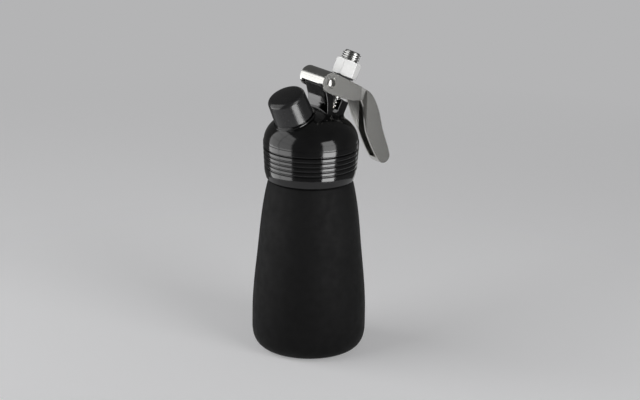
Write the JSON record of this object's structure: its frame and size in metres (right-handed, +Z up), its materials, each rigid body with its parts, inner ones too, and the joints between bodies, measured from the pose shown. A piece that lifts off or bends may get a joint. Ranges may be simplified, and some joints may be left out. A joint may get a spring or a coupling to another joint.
{
  "type": "whipped cream dispenser",
  "caption": "Hand-held cream whipper: rubber-coated bottle, screwed-on domed head, pressed lever over a sprung tilted valve, and a capped gas charger port on the other side.",
  "frame": {"origin": "centre of the bottle's base, on the surface it stands on", "axes": "+Z up along the bottle; +X to the side the lever and the valve lean to, -X to the charger port's side; the lever's pivot runs along Y"},
  "size_m": [0.0998, 0.076, 0.2006],
  "materials": {
    "bottle_metal": "drawn and anodised inside, plain silver",
    "sleeve_rubber": "matt black rubber coat",
    "head_enamel": "smooth black coat with a soft gloss",
    "seal_rubber": "plain black seal rubber",
    "port_metal": "turned, bright",
    "nut_steel": "turned, plain",
    "pin_steel": "polished",
    "check_rubber": "plain red silicone",
    "bush_metal": "turned, plain",
    "spring_steel": "drawn wire, bright",
    "stem_steel": "turned, polished",
    "adapter_metal": "turned, satin",
    "lever_metal": "formed sheet, satin with bright rounded edges",
    "cap_plastic": "matt black moulding with a faint sheen"
  },
  "bodies": {
    "bottle": {"bottle": "bottle_metal", "bottle_sleeve": "sleeve_rubber"},
    "head": {"head": "head_enamel", "head_gasket": "seal_rubber", "port_gasket": "seal_rubber", "charger_port": "port_metal", "port_nut": "nut_steel", "pin_holder": "nut_steel", "piercing_pin": "pin_steel", "pin_seal": "seal_rubber", "check_valve": "check_rubber", "valve_bush": "bush_metal", "bush_o_ring": "seal_rubber", "bush_nut": "nut_steel", "pivot_pin": "pin_steel", "return_spring": "spring_steel"},
    "valve": {"valve_stem": "stem_steel", "stem_o_ring_lower": "seal_rubber", "stem_o_ring_upper": "seal_rubber", "valve_gasket": "seal_rubber", "gasket_screw": "nut_steel", "spring_plate": "stem_steel", "adapter_seal": "seal_rubber", "nozzle_adapter": "adapter_metal"},
    "lever": {"lever": "lever_metal"},
    "charger_cap": {"charger_cap": "cap_plastic"}
  },
  "joints": [
    {"name": "head_lift", "type": "slide", "parent": "bottle", "child": "head", "axis": [0, 0, 1], "range_m": [0, 0.06]},
    {"name": "lever_press", "type": "hinge", "parent": "head", "child": "lever", "pos_m": [0.0065, 0, 0.183], "axis": [0, 1, 0], "range_deg": [0, 8], "stiffness_Nm_per_rad": 1, "springref_deg": -8.59},
    {"name": "valve_slide", "type": "slide", "parent": "head", "child": "valve", "axis": [-0.4384, 0, -0.8988], "range_m": [0, 0.0026], "deforming": ["return_spring"]},
    {"name": "cap_off", "type": "slide", "parent": "head", "child": "charger_cap", "axis": [-0.4226, 0, 0.9063], "range_m": [0, 0.1]}
  ],
  "couplings": [
    {"joint": "valve_slide", "follows": "lever_press", "m_per_rad": 0.0174}
  ]
}
